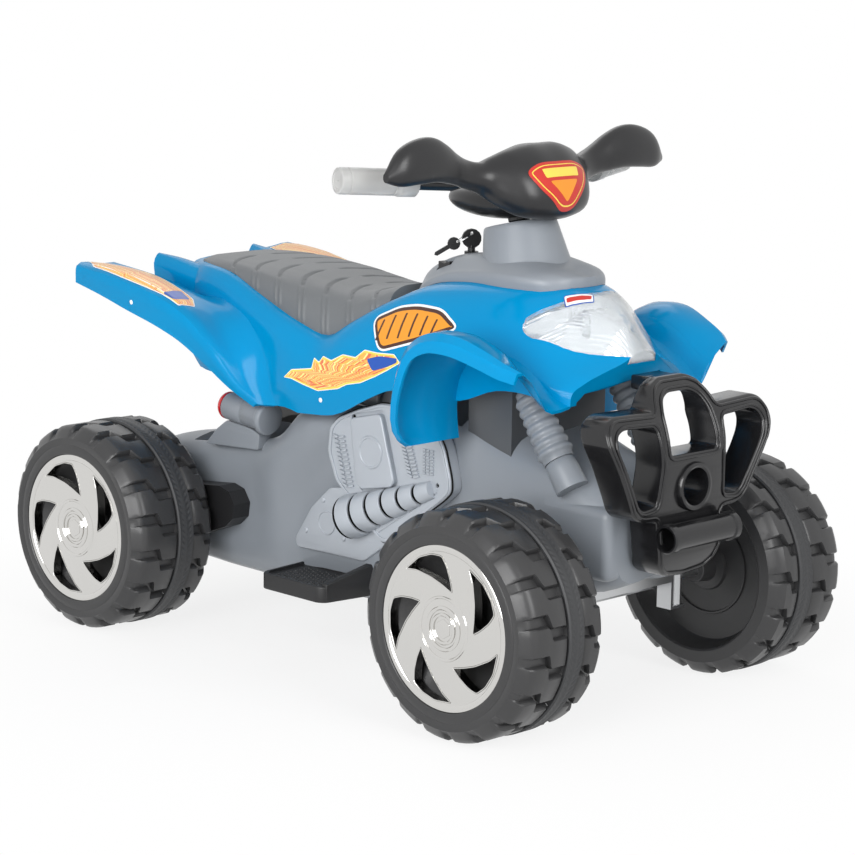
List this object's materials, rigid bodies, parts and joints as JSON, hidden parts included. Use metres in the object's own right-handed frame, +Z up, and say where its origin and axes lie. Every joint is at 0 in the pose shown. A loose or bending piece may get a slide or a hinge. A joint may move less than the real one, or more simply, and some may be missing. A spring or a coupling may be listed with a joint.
{
  "type": "ride-on electric quad",
  "caption": "Child's battery ride-on quad with plastic body, saddle, handlebar steering, four wheels on bearings, drive motors, gearboxes and battery.",
  "frame": {"origin": "on the floor, below the middle of the bounding box", "axes": "+Z up, the front faces -Y, the right side is -X"},
  "size_m": [0.619, 1.0442, 0.7227],
  "materials": {
    "blue_gloss": "high gloss",
    "grey_plastic": "satin",
    "silver_plastic": "metallic satin",
    "seat_plastic": "matt",
    "black_plastic": "gloss",
    "clear_plastic": "clear",
    "chrome_plating": "mirror",
    "red_plastic": "clear red",
    "zinc_steel": "plated",
    "pale_grip": "soft",
    "tyre_plastic": "satin",
    "band_rubber": "matt"
  },
  "bodies": {
    "chassis": {"chassis_hull": "grey_plastic", "column_bracket": "black_plastic", "upper_body": "blue_gloss", "headlight_lens": "clear_plastic", "headlight_reflector": "chrome_plating", "lamp_bulb_left": "clear_plastic", "lamp_bulb_right": "clear_plastic", "seat": "seat_plastic", "tail_pod_left": "grey_plastic", "tail_pod_right": "grey_plastic", "tail_lens_left": "red_plastic", "tail_lens_right": "red_plastic", "front_bumper": "black_plastic", "column_cover": "grey_plastic", "ignition_lock": "black_plastic", "front_axle_beam": "zinc_steel", "rear_axle": "zinc_steel", "axle_nut_rear_left": "zinc_steel", "axle_nut_rear_right": "zinc_steel", "gearbox_left": "black_plastic", "gearbox_right": "black_plastic", "motor_left": "zinc_steel", "motor_right": "zinc_steel", "battery": "black_plastic", "battery_strap": "black_plastic", "control_box": "black_plastic", "engine_cover_left": "silver_plastic", "engine_cover_right": "silver_plastic", "footrest_left": "black_plastic", "footrest_right": "black_plastic", "damper_left": "grey_plastic", "damper_right": "grey_plastic"},
    "steering": {"handlebar_shell": "black_plastic", "bar_clamp": "black_plastic", "grip_left": "pale_grip", "grip_right": "pale_grip", "steering_shaft": "zinc_steel"},
    "throttle": {"throttle_button": "black_plastic"},
    "tie_rod": {"tie_rod": "zinc_steel"},
    "knuckle_left": {"steering_knuckle_left": "zinc_steel", "axle_nut_front_left": "zinc_steel"},
    "knuckle_right": {"steering_knuckle_right": "zinc_steel", "axle_nut_front_right": "zinc_steel"},
    "key": {"ignition_key": "black_plastic", "key_ring": "zinc_steel", "spare_key": "black_plastic"},
    "rocker": {"direction_rocker": "black_plastic"},
    "wheel_front_left": {"tyre_front_left": "tyre_plastic", "traction_band_front_left": "band_rubber", "hubcap_front_left": "chrome_plating"},
    "wheel_front_right": {"tyre_front_right": "tyre_plastic", "traction_band_front_right": "band_rubber", "hubcap_front_right": "chrome_plating"},
    "wheel_rear_left": {"tyre_rear_left": "tyre_plastic", "traction_band_rear_left": "band_rubber", "hubcap_rear_left": "chrome_plating"},
    "wheel_rear_right": {"tyre_rear_right": "tyre_plastic", "traction_band_rear_right": "band_rubber", "hubcap_rear_right": "chrome_plating"}
  },
  "joints": [
    {"name": "steering_turn", "type": "hinge", "parent": "chassis", "child": "steering", "pos_m": [0, -0.18961, 0.602], "axis": [0, 0.2334, 0.9724], "range_deg": [-30, 30]},
    {"name": "knuckle_left_turn", "type": "hinge", "parent": "chassis", "child": "knuckle_left", "pos_m": [0.128, -0.36036, 0.145], "axis": [0, 0, 1], "range_deg": [-20, 20]},
    {"name": "knuckle_right_turn", "type": "hinge", "parent": "chassis", "child": "knuckle_right", "pos_m": [-0.128, -0.36036, 0.145], "axis": [0, 0, 1], "range_deg": [-20, 20]},
    {"name": "tie_rod_slide", "type": "slide", "parent": "chassis", "child": "tie_rod", "axis": [1, 0, 0], "range_m": [-0.0118, 0.0118]},
    {"name": "wheel_front_left_spin", "type": "hinge", "parent": "knuckle_left", "child": "wheel_front_left", "pos_m": [0.3095, -0.36036, 0.145], "axis": [1, 0, 0], "continuous": true},
    {"name": "wheel_front_right_spin", "type": "hinge", "parent": "knuckle_right", "child": "wheel_front_right", "pos_m": [-0.3095, -0.36036, 0.145], "axis": [1, 0, 0], "continuous": true},
    {"name": "wheel_rear_left_spin", "type": "hinge", "parent": "chassis", "child": "wheel_rear_left", "pos_m": [0.289, 0.37714, 0.145], "axis": [1, 0, 0], "continuous": true},
    {"name": "wheel_rear_right_spin", "type": "hinge", "parent": "chassis", "child": "wheel_rear_right", "pos_m": [-0.289, 0.37714, 0.145], "axis": [1, 0, 0], "continuous": true},
    {"name": "key_turn", "type": "hinge", "parent": "chassis", "child": "key", "pos_m": [0, -0.10361, 0.55659], "axis": [0, 0, 1], "range_deg": [-90, 0]},
    {"name": "rocker_tilt", "type": "hinge", "parent": "chassis", "child": "rocker", "pos_m": [-0.046, -0.10361, 0.52692], "axis": [1, 0, 0], "range_deg": [-7, 7]},
    {"name": "throttle_press", "type": "slide", "parent": "steering", "child": "throttle", "axis": [-0.304, -0.9525, 0.0179], "range_m": [0, 0.002], "stiffness_N_per_m": 300}
  ],
  "couplings": [
    {"joint": "tie_rod_slide", "follows": "steering_turn", "m_per_rad": -0.021963},
    {"joint": "knuckle_left_turn", "follows": "steering_turn", "ratio": 0.64903},
    {"joint": "knuckle_right_turn", "follows": "steering_turn", "ratio": 0.64903}
  ]
}
